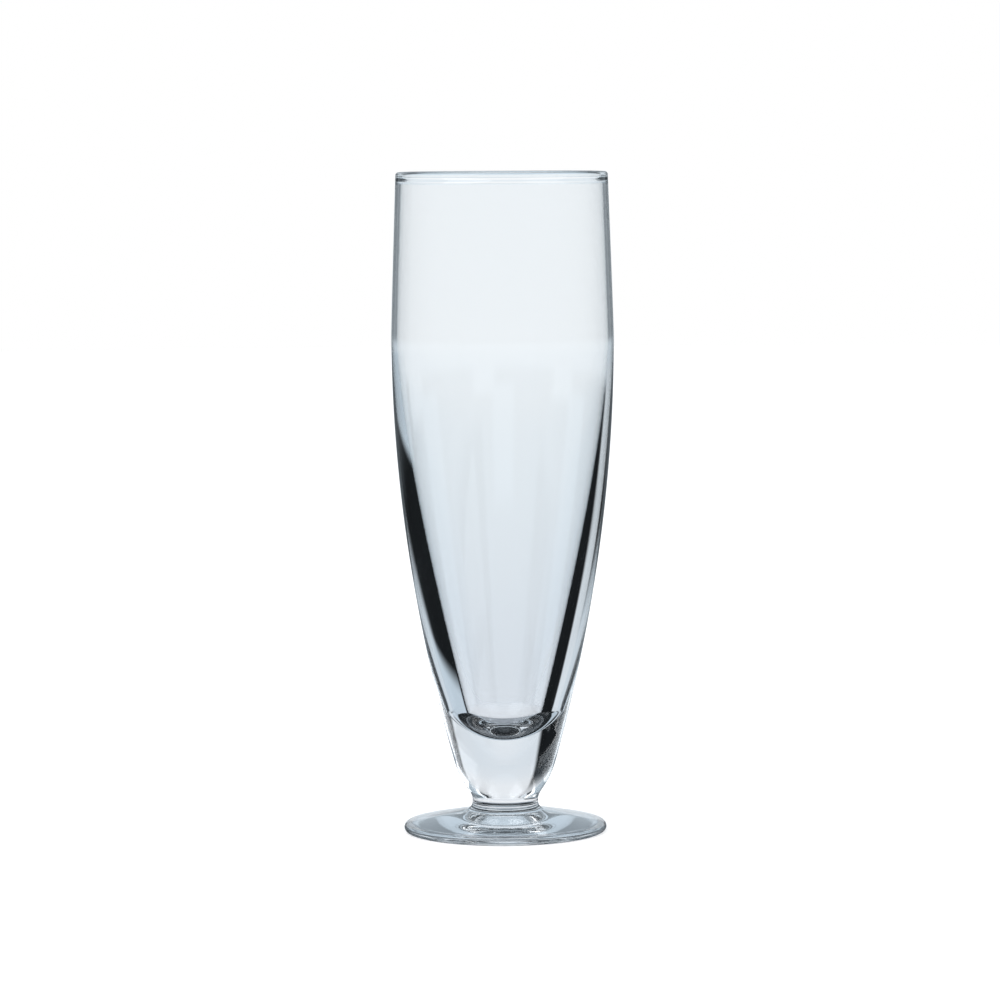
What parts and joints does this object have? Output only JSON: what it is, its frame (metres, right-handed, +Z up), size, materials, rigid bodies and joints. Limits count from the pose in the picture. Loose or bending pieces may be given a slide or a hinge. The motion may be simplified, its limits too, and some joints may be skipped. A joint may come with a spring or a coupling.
{
  "type": "pilsner glass",
  "caption": "Tall clear footed pilsner glass: thin bowl tapering to a heavy base with a rounded pool, a short solid stem and a round foot.",
  "frame": {"origin": "centre of the resting ring under the foot, on the surface the glass stands on", "axes": "+Z up along the axis of the glass, towards the rim; the glass is round, so +X and +Y are any two square directions"},
  "size_m": [0.0666, 0.0666, 0.1983],
  "materials": {
    "clear_glass": "polished"
  },
  "bodies": {
    "root": {"bowl": "clear_glass", "stem": "clear_glass", "foot": "clear_glass"}
  },
  "joints": []
}
